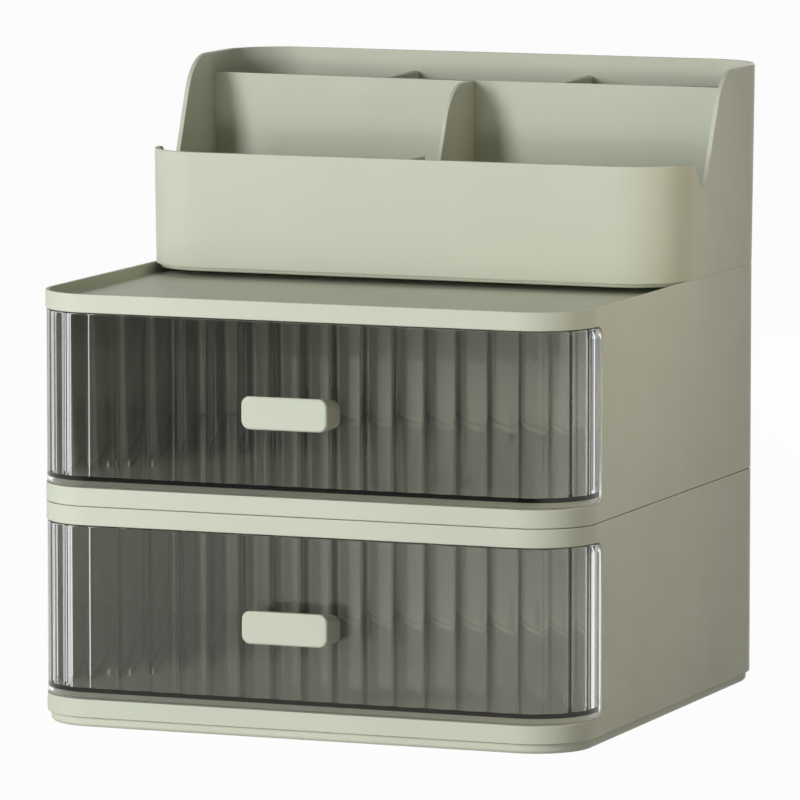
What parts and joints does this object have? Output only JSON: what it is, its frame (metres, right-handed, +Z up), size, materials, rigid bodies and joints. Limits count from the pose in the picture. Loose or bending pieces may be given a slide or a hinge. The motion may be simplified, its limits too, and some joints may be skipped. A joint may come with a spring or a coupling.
{
  "type": "drawer storage box",
  "caption": "Stacked drawer units with clear fluted wrap-round drawers and block handles, under a divided open tray for desk, vanity or craft supplies.",
  "frame": {"origin": "middle of the units' footprint, on the standing surface", "axes": "+Z up, -Y towards the drawers' fronts, +X to the right as seen from the front"},
  "size_m": [0.2622, 0.2768, 0.286],
  "materials": {
    "sage_plastic": "matt moulded plastic, sage green",
    "clear_plastic": "clear polished plastic",
    "screw_steel": "plain zinc-plated steel"
  },
  "bodies": {
    "lower_unit": {"lower_shell": "sage_plastic", "lower_base": "sage_plastic"},
    "lower_drawer": {"lower_drawer": "clear_plastic", "lower_handle": "sage_plastic", "lower_handle_screws": "screw_steel"},
    "upper_unit": {"upper_shell": "sage_plastic", "upper_base": "sage_plastic"},
    "upper_drawer": {"upper_drawer": "clear_plastic", "upper_handle": "sage_plastic", "upper_handle_screws": "screw_steel"},
    "tray": {"top_tray": "sage_plastic"}
  },
  "joints": [
    {"name": "lower_drawer_slide", "type": "slide", "parent": "lower_unit", "child": "lower_drawer", "axis": [0, -1, 0], "range_m": [0, 0.175]},
    {"name": "upper_unit_lift", "type": "slide", "parent": "lower_unit", "child": "upper_unit", "axis": [0, 0, 1], "range_m": [0, 0.12]},
    {"name": "upper_drawer_slide", "type": "slide", "parent": "upper_unit", "child": "upper_drawer", "axis": [0, -1, 0], "range_m": [0, 0.175]},
    {"name": "tray_lift", "type": "slide", "parent": "upper_unit", "child": "tray", "axis": [0, 0, 1], "range_m": [0, 0.12]}
  ]
}
